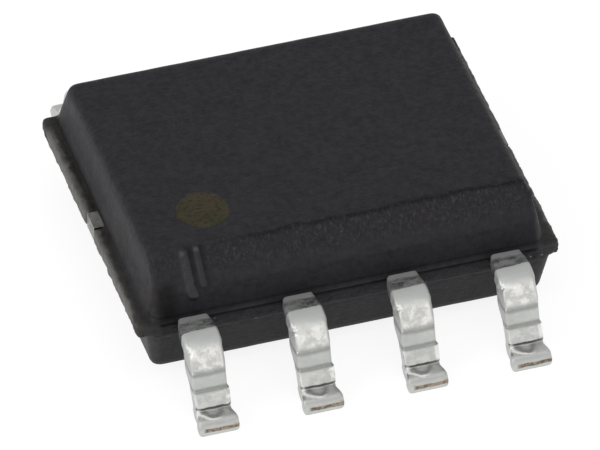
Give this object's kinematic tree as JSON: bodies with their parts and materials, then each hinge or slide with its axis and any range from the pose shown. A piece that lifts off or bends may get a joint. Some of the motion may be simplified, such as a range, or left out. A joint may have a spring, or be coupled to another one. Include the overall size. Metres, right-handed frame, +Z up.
{
  "type": "small-outline integrated circuit package",
  "caption": "Surface-mount chip: a bevelled black epoxy body moulded round a lead frame, die and bond wires, with gull-wing leads along both long sides.",
  "frame": {"origin": "on the board, under the middle of the package", "axes": "+X along the lead rows from pin 1 to pin 4, +Y from the pin 1 row to the pin 5 row, +Z up from the board"},
  "size_m": [0.0052, 0.006, 0.0016],
  "materials": {
    "mould_epoxy": "spark-eroded satin epoxy moulding compound",
    "tin_plated_lead": "dull tin plating over copper, with tool marks",
    "frame_copper": "rolled copper alloy, tinned at the cut ends",
    "attach_epoxy": "silver-filled epoxy",
    "silicon": "polished silicon",
    "gold_wire": "drawn gold wire"
  },
  "bodies": {
    "root": {"moulded_body": "mould_epoxy", "lead_1": "tin_plated_lead", "lead_2": "tin_plated_lead", "lead_3": "tin_plated_lead", "lead_4": "tin_plated_lead", "lead_5": "tin_plated_lead", "lead_6": "tin_plated_lead", "lead_7": "tin_plated_lead", "lead_8": "tin_plated_lead", "die_paddle": "frame_copper", "die_attach": "attach_epoxy", "silicon_die": "silicon", "bond_wire_1": "gold_wire", "bond_wire_2": "gold_wire", "bond_wire_3": "gold_wire", "bond_wire_4": "gold_wire", "bond_wire_5": "gold_wire", "bond_wire_6": "gold_wire", "bond_wire_7": "gold_wire", "bond_wire_8": "gold_wire"}
  },
  "joints": []
}
